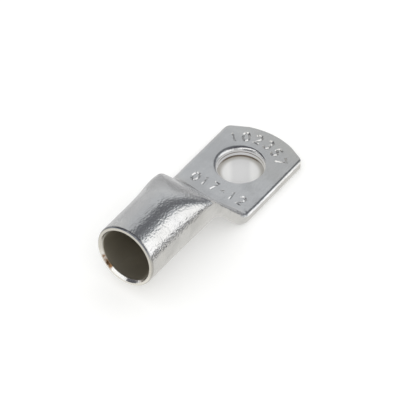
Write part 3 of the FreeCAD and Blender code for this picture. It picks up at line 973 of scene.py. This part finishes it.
# %% Cards around the tube
CARDS = [
    ("far_soft", -88, -52, 0.125, 1.225, (0.60, 0.605, 0.615)),
    ("far_top", -52, -20, 0.125, 1.225, (0.56, 0.575, 0.595)),
    ("far_fade", -20, -12, 0.125, 1.225, (0.36, 0.37, 0.385)),
    ("dark_gap", -12, 26, 0.125, 1.225, (0.16, 0.165, 0.18)),
    ("near_fade", 26, 38, 0.125, 0.50, (0.42, 0.45, 0.48)),
    ("near_dark", 26, 42, 0.50, 1.225, (0.20, 0.21, 0.23)),
    ("near_bright", 38, 89, -0.15, 0.43, (1.22, 1.22, 1.23)),
    ("near_half", 38, 89, 0.43, 1.225, (0.50, 0.52, 0.54)),
]
for card in CARDS:
    add_card(*card)
print(len(CARDS), "cards around the tube")

# %% [markdown]
# Three more kinds of card: tall ones beyond the palm, which show on the crown as it turns down,
# sheets lying on the table, which paint the floor's reflection with its shade along the lower
# sides of the tube, and a dark roof with one white panel, which show on the palm and on the
# mouth's chamfer.

# %% Cards beyond the palm, sheets on the table and a roof
END_X, END_TOP = 1.3, 1.4
REFLECTED_FLOOR_Z, REFLECTED_FLOOR_X, REFLECTED_FLOOR_NEAR, REFLECTED_FLOOR_END = 0.0004, -0.056, -0.080, 1.2
ROOF_Z, PANEL_Z = 0.5, 0.48
# painted reflection of the floor beyond the tube, darker in steps along it
REFLECTED_FLOOR_FAR = [(REFLECTED_FLOOR_X, 0.70), (0.020, 0.60), (0.032, 0.50), (0.045, 0.42), (0.070, 0.34),
             (REFLECTED_FLOOR_END, 0.0)]


def add_sheet(name, low, high, colour):
    """A flat card between two corners; one of its three sizes is zero."""
    low, high = Vector(low), Vector(high)
    size = high - low
    lying = size.z == 0
    turn = (0.0, 0.0, 0.0) if lying else (0.0, math.pi / 2, 0.0)
    place_card(name, colour, (low + high) / 2, turn, (size.x if lying else size.z, size.y, 1.0))


SHEETS = [
    ("end_far", (END_X, 0.65, 0.0), (END_X, 1.6, END_TOP), (0.55, 0.55, 0.56)),
    ("end_half", (END_X, 0.1, 0.0), (END_X, 0.65, END_TOP), (0.34, 0.345, 0.36)),
    ("end_dark", (END_X, -0.55, 0.0), (END_X, 0.1, END_TOP), (0.22, 0.225, 0.24)),
    ("end_near", (END_X, -1.4, 0.0), (END_X, -0.55, END_TOP), (1.1, 1.1, 1.1)),
]
for (start_x, level), (stop_x, _) in zip(REFLECTED_FLOOR_FAR, REFLECTED_FLOOR_FAR[1:]):
    SHEETS.append((f"floor_reflection_far_{level * 100:.0f}", (start_x, 0.0, REFLECTED_FLOOR_Z),
                   (stop_x, 1.0, REFLECTED_FLOOR_Z), (level, level, level * 1.01)))
SHEETS += [
    # painted reflections of the floor: warm and shaded near the lug, dark farther out on the near
    # side, warm white in front of the mouth
    ("floor_shade_reflection_near", (REFLECTED_FLOOR_X, REFLECTED_FLOOR_NEAR, REFLECTED_FLOOR_Z), (REFLECTED_FLOOR_END, 0.0, REFLECTED_FLOOR_Z), (0.72, 0.71, 0.685)),
    ("floor_dark_reflection_near", (REFLECTED_FLOOR_X, -1.2, REFLECTED_FLOOR_Z), (REFLECTED_FLOOR_END, REFLECTED_FLOOR_NEAR, REFLECTED_FLOOR_Z), (0.03, 0.03, 0.045)),
    ("floor_reflection_front", (-0.8, -0.8, REFLECTED_FLOOR_Z), (REFLECTED_FLOOR_X, 0.8, REFLECTED_FLOOR_Z), (0.98, 0.95, 0.88)),
    ("roof_dark", (-0.9, -0.9, ROOF_Z), (0.12, 3.0, ROOF_Z), (0.10, 0.10, 0.115)),
    ("roof_white", (-0.60, -0.45, PANEL_Z), (-0.24, 0.36, PANEL_Z), (1.4, 1.4, 1.4)),
]
for sheet in SHEETS:
    add_sheet(*sheet)
print(len(SHEETS), "more cards")

# %% [markdown]
# One soft lamp from above gives the floor its light and the lug its shadow. It stays out of
# the reflections, because the cards already draw them.

# %% Lamp
def add_lamp(name, spot, size, energy):
    lamp = bpy.data.lights.new(name, "AREA")
    lamp.shape = "SQUARE"
    lamp.size = size
    lamp.energy = energy
    item = bpy.data.objects.new(name, lamp)
    bpy.context.collection.objects.link(item)
    item.location = spot
    item.rotation_euler = (CENTRE - Vector(spot)).to_track_quat("-Z", "Y").to_euler()
    item.visible_camera = False
    item.visible_glossy = False
    print(name, "gives", energy, "W")


add_lamp("top_light", (-0.50, -0.37, 0.70), 0.5, 0.6)


# %% [markdown]
# The camera looks from the photograph's side. Its angles and its scale come from the straight
# edges, the hole and the mouth, and it is set by the place of the hole's middle in the image.

# %% Camera
AZIMUTH, ELEVATION = math.radians(-53.59), math.radians(47.3)
PIXELS_PER_MM, FOCAL_PIXELS = 3.23, 2800.0
IMAGE, SENSOR = 400, 36.0
HOLE_PIXEL = (240.67, 172.86)


def make_camera():
    """Looks at the stud hole's centre from the photograph's side."""
    back = Vector((math.sin(AZIMUTH) * math.cos(ELEVATION),
                   -math.cos(AZIMUTH) * math.cos(ELEVATION), math.sin(ELEVATION)))
    right = Vector((math.cos(AZIMUTH), math.sin(AZIMUTH), 0.0))
    up = back.cross(right)
    distance = FOCAL_PIXELS / PIXELS_PER_MM
    aside, below = [(pixel - IMAGE / 2) / FOCAL_PIXELS * distance for pixel in HOLE_PIXEL]
    eye = (back * distance - right * aside + up * below) * MM
    data = bpy.data.cameras.new("view")
    data.sensor_width = SENSOR
    data.lens = FOCAL_PIXELS / IMAGE * SENSOR
    camera = bpy.data.objects.new("view", data)
    bpy.context.collection.objects.link(camera)
    turn = Matrix((right, up, back)).transposed().to_4x4()
    camera.matrix_world = Matrix.Translation(eye) @ turn
    bpy.context.scene.camera = camera
    print("camera at mm", [round(v / MM, 1) for v in eye], "lens", round(data.lens, 1))


make_camera()
bpy.context.scene.view_settings.view_transform = "Standard"
